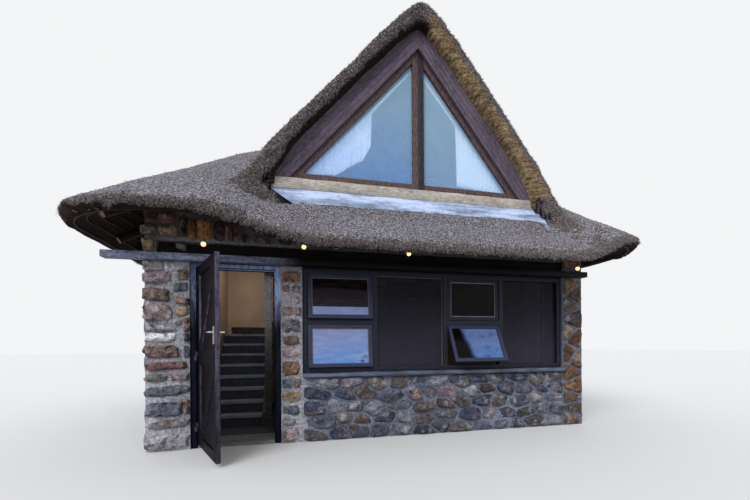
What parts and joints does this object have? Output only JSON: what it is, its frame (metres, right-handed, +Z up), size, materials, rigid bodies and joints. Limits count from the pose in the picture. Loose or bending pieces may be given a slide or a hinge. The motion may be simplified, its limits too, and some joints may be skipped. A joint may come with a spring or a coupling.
{
  "type": "thatched stone cottage hut",
  "caption": "Thatched stone hut with a flat window front, a round back wall, an A-frame glazed loft dormer and a hinged entrance door",
  "frame": {"origin": "on the ground plane, under the roof's apex and in the middle of the round back wall, on the underside of the floor", "axes": "+X to the right along the front as seen from outside, +Y from the front into the building, +Z up"},
  "size_m": [7.3, 7.428, 5.6],
  "materials": {
    "stone": "rubble in pale mortar",
    "concrete": "rough screed",
    "plaster": "worn grey plaster",
    "dark_timber": "weathered dark stain",
    "blue_timber": "worn blue-grey paint",
    "navy_timber": "dark navy paint, worn at the edges",
    "door_timber": "dark purple-brown stain",
    "silver_metal": "brushed",
    "dark_metal": "dull",
    "glass": "clear",
    "thatch": "weathered reed",
    "pole_timber": "round poles, smoke brown",
    "red_timber": "reddish-brown varnish",
    "pale_timber": "sun-bleached",
    "flashing": "whitish, weathered",
    "white_cloth": "thin white cotton",
    "stair_timber": "dark grey paint, worn treads"
  },
  "bodies": {
    "root": {"floor_slab": "concrete", "left_pier": "stone", "middle_pier": "stone", "right_pier": "stone", "sill_wall": "stone", "upper_front_wall": "stone", "left_wall": "stone", "right_wall": "stone", "round_wall_1": "stone", "round_wall_2": "stone", "round_wall_3": "stone", "round_wall_4": "stone", "round_wall_5": "stone", "round_wall_6": "stone", "wall_plate": "dark_timber", "lintel_beam": "dark_timber", "front_rail": "blue_timber", "door_frame": "navy_timber", "door_threshold": "dark_timber", "door_hinge_pins": "dark_metal", "window_sill": "plaster", "window_frame": "navy_timber", "left_sashes": "navy_timber", "upper_right_sash": "navy_timber", "lower_right_sash": "navy_timber", "window_glass": "glass", "sash_glass": "glass", "main_thatch": "thatch", "dormer_thatch": "thatch", "rafters": "pole_timber", "dormer_rafters": "pole_timber", "barge_boards": "dark_timber", "dormer_frame": "red_timber", "dormer_glass": "glass", "dormer_sill": "pale_timber", "dormer_apron": "flashing", "dormer_curtains": "white_cloth", "loft_joists": "pole_timber", "loft_floor": "pole_timber", "stair_treads": "stair_timber", "stair_risers": "stair_timber", "stair_strings": "stair_timber"},
    "door": {"door_leaf": "door_timber", "door_handle": "silver_metal", "door_hinges": "dark_metal"}
  },
  "joints": [
    {"name": "entrance_door", "type": "hinge", "parent": "root", "child": "door", "pos_m": [-2.33, -2.992, 0], "axis": [0, 0, 1], "range_deg": [-38, 67]}
  ]
}
